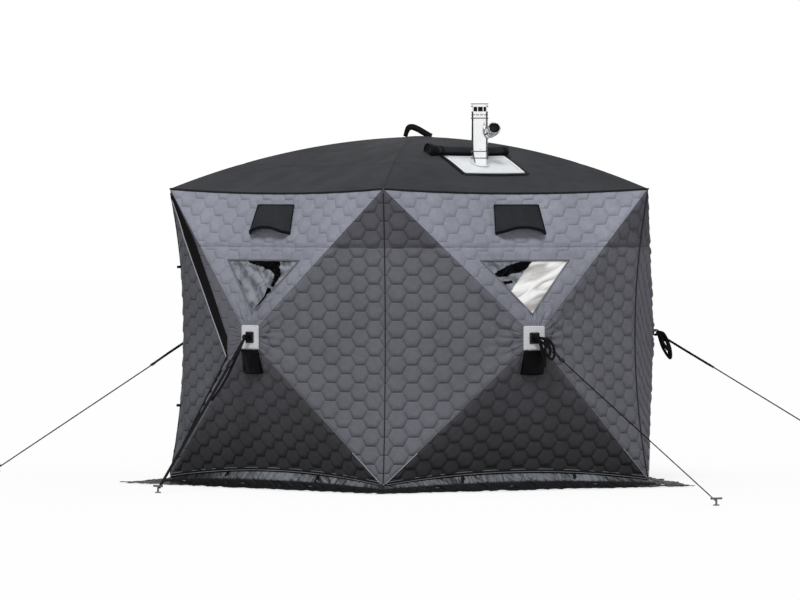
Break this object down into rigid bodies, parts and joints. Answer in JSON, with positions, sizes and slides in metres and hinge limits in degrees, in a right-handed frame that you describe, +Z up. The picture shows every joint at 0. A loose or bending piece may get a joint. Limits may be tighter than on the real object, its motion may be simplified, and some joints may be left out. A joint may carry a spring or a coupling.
{
  "type": "ice fishing hut",
  "caption": "Pop-up ice fishing hut with quilted grey fabric walls pushed out by pole hubs, a zipped door, clear windows, snow skirt, guy ropes and a stove flue through the roof",
  "frame": {"origin": "on the ground under the middle of the roof", "axes": "+Z up, -Y towards the front corner seam, +X to the right of a viewer who faces that seam"},
  "size_m": [5.6448, 5.794, 2.2951],
  "materials": {
    "light_quilt": "quilted polyester, light grey",
    "mid_quilt": "quilted polyester, mid grey",
    "dark_quilt": "quilted polyester, charcoal",
    "roof_fabric": "coated polyester, dark grey",
    "black_fabric": "coated polyester, black",
    "black_webbing": "woven webbing, black",
    "pale_patch": "coated reinforcement, pale grey",
    "skirt_sheet": "shiny coated sheet, black",
    "clear_film": "clear flexible film",
    "pole_fibre": "glass-fibre rod",
    "black_plastic": "moulded, black",
    "black_rope": "braided cord, black",
    "zinc_steel": "zinc plated",
    "silver_cloth": "aluminised glass cloth",
    "flue_steel": "bright stainless sheet"
  },
  "bodies": {
    "shelter": {"front_top_panel": "light_quilt", "front_side_panels": "mid_quilt", "front_bottom_panel": "dark_quilt", "right_top_panel": "light_quilt", "right_side_panels": "mid_quilt", "right_bottom_panel": "dark_quilt", "back_top_panel": "light_quilt", "back_side_panels": "mid_quilt", "back_bottom_panel": "dark_quilt", "left_top_panel": "light_quilt", "left_side_panels": "mid_quilt", "left_bottom_panel": "dark_quilt", "door_wall_top_panel": "light_quilt", "door_wall_right_panel": "mid_quilt", "door_wall_bottom_panel": "dark_quilt", "door_jamb": "mid_quilt", "door_surround": "mid_quilt", "storm_flap": "black_fabric", "front_roof_panel": "roof_fabric", "right_roof_panel": "roof_fabric", "back_roof_panel": "roof_fabric", "left_roof_panel": "roof_fabric", "door_roof_panel": "roof_fabric", "roof_cap": "roof_fabric", "roof_handle": "black_webbing", "hub_patches": "pale_patch", "hub_plates": "black_webbing", "rope_pockets": "black_fabric", "window_panes": "clear_film", "vent_hoods": "black_fabric", "wall_hubs": "black_plastic", "roof_hub": "black_plastic", "wall_poles": "pole_fibre", "roof_poles": "pole_fibre", "corner_joints": "black_plastic", "corner_feet": "black_plastic", "snow_skirts": "skirt_sheet", "guy_ropes": "black_rope", "guy_strap": "black_webbing", "ice_anchors": "zinc_steel", "stove_jack": "silver_cloth", "jack_cover_roll": "black_fabric", "flue_pipe": "flue_steel", "flue_tee": "flue_steel", "flue_cap": "flue_steel"},
    "door": {"door_flap": "mid_quilt"}
  },
  "joints": [
    {"name": "door_fold", "type": "hinge", "parent": "shelter", "child": "door", "pos_m": [-1.34101, -0.61164, 0.9], "axis": [0, 0, -1], "range_deg": [0, 150]}
  ]
}
